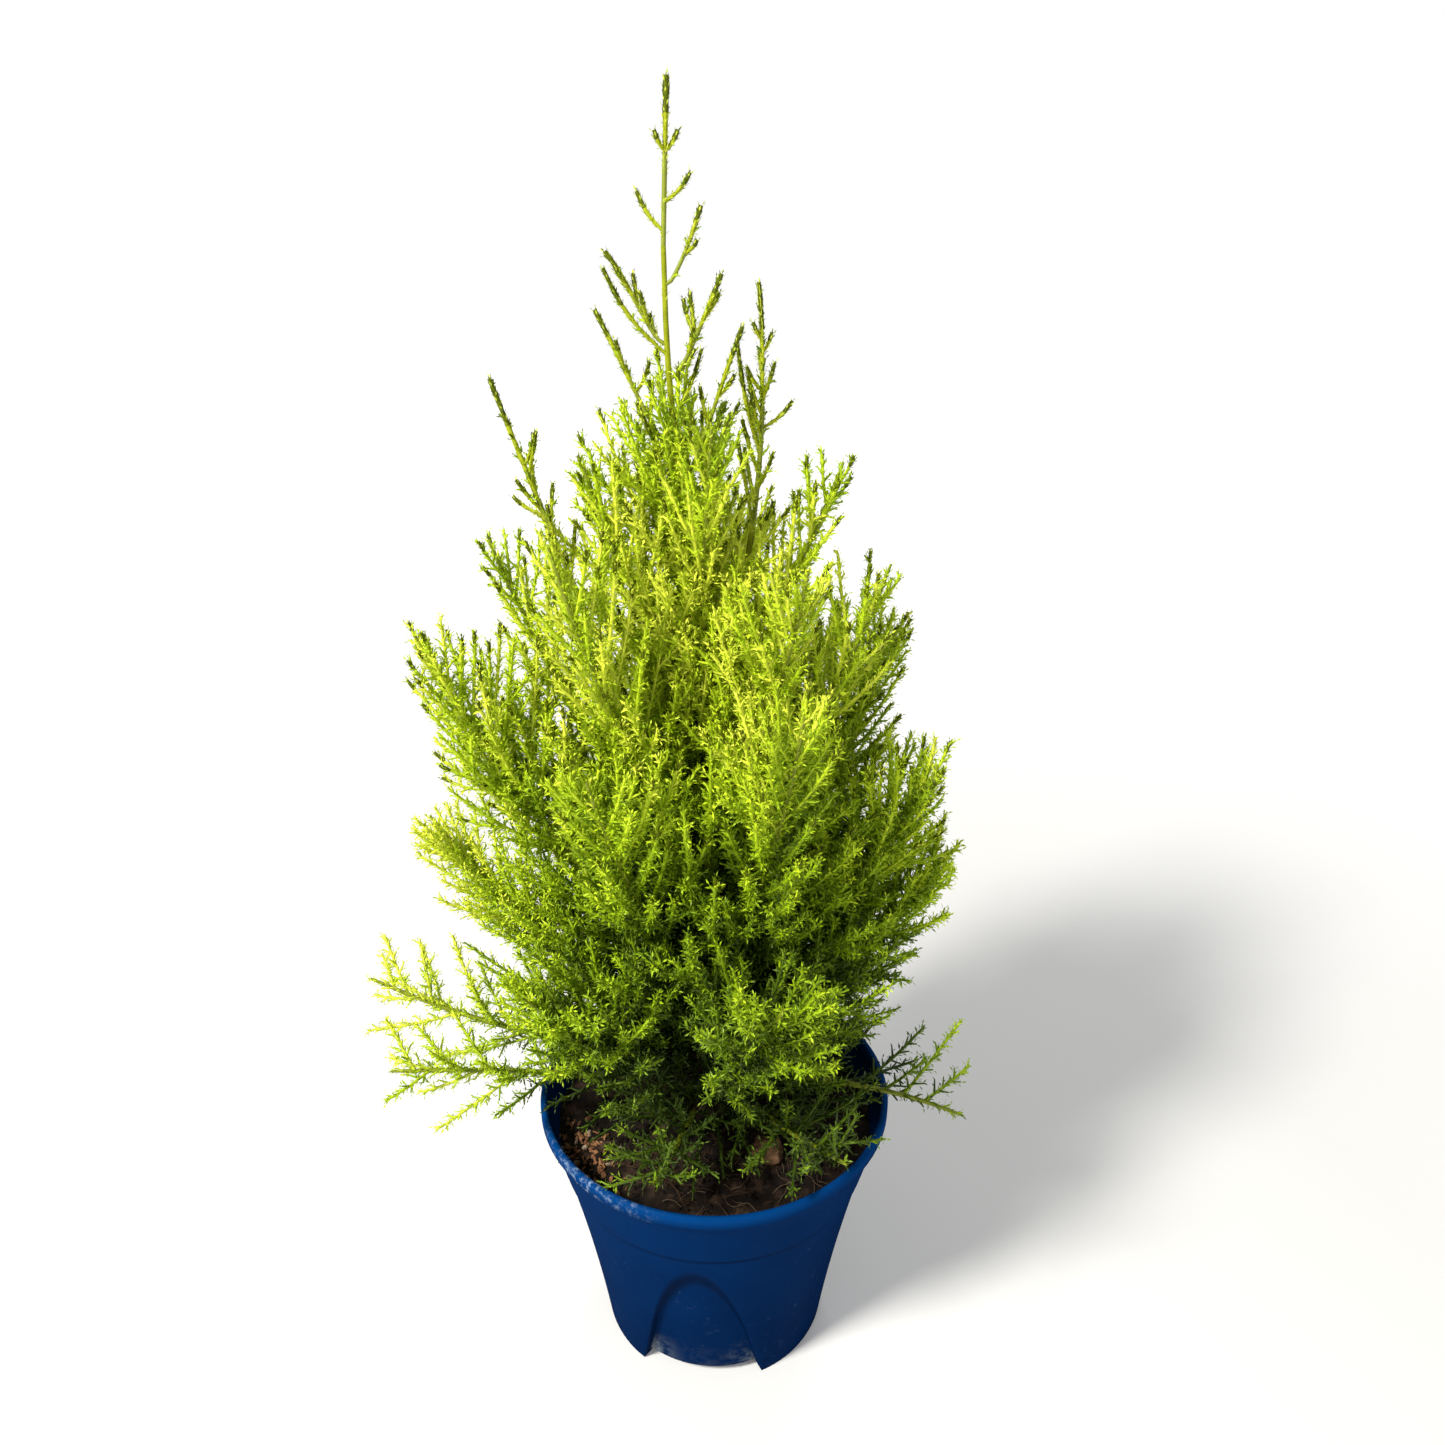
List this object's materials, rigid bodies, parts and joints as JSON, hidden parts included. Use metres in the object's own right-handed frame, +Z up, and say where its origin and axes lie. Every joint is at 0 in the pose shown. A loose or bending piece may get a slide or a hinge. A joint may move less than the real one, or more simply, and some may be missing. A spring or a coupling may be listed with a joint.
{
  "type": "potted cypress tree",
  "caption": "Young golden cypress, a narrow bushy cone of upright shoots round a single leader, growing in a round blue nursery pot with arched recesses in its wall.",
  "frame": {"origin": "on the ground, below the middle of the whole plant's box", "axes": "+X to the right as in the picture, +Y away from the viewer, +Z up along the trunk"},
  "size_m": [0.298, 0.234, 0.605],
  "materials": {
    "pot": "moulded, satin, lightly dusty",
    "soil": "loose peat and bark crumbs",
    "bark": "thin fibrous bark",
    "foliage": "soft juvenile needles"
  },
  "bodies": {
    "root": {"pot": "pot", "soil": "soil", "trunk": "bark", "skirt_bough_1": "bark", "skirt_bough_2": "bark", "skirt_bough_3": "bark", "skirt_bough_4": "bark", "skirt_bough_5": "bark", "skirt_bough_6": "bark", "skirt_bough_7": "bark", "low_bough_1": "bark", "low_bough_2": "bark", "low_bough_3": "bark", "low_bough_4": "bark", "low_bough_5": "bark", "low_bough_6": "bark", "middle_bough_1": "bark", "middle_bough_2": "bark", "middle_bough_3": "bark", "middle_bough_4": "bark", "middle_bough_5": "bark", "middle_bough_6": "bark", "spire_bough_1": "bark", "spire_bough_2": "bark", "skirt_mass_1": "foliage", "skirt_mass_2": "foliage", "skirt_mass_3": "foliage", "skirt_mass_4": "foliage", "skirt_mass_5": "foliage", "skirt_mass_6": "foliage", "skirt_mass_7": "foliage", "low_mass_1": "foliage", "low_mass_2": "foliage", "low_mass_3": "foliage", "low_mass_4": "foliage", "low_mass_5": "foliage", "low_mass_6": "foliage", "middle_mass_1": "foliage", "middle_mass_2": "foliage", "middle_mass_3": "foliage", "middle_mass_4": "foliage", "middle_mass_5": "foliage", "middle_mass_6": "foliage", "spire_mass_1": "foliage", "spire_mass_2": "foliage", "upper_mass_1": "foliage", "upper_mass_2": "foliage", "upper_mass_3": "foliage", "upper_mass_4": "foliage", "upper_mass_5": "foliage", "top_mass_1": "foliage", "top_mass_2": "foliage", "top_mass_3": "foliage", "top_mass_4": "foliage", "leader_mass_1": "foliage", "leader_mass_2": "foliage", "leader_mass_3": "foliage", "leader_mass_4": "foliage", "leader_mass_5": "foliage", "leader_tip": "foliage"}
  },
  "joints": []
}
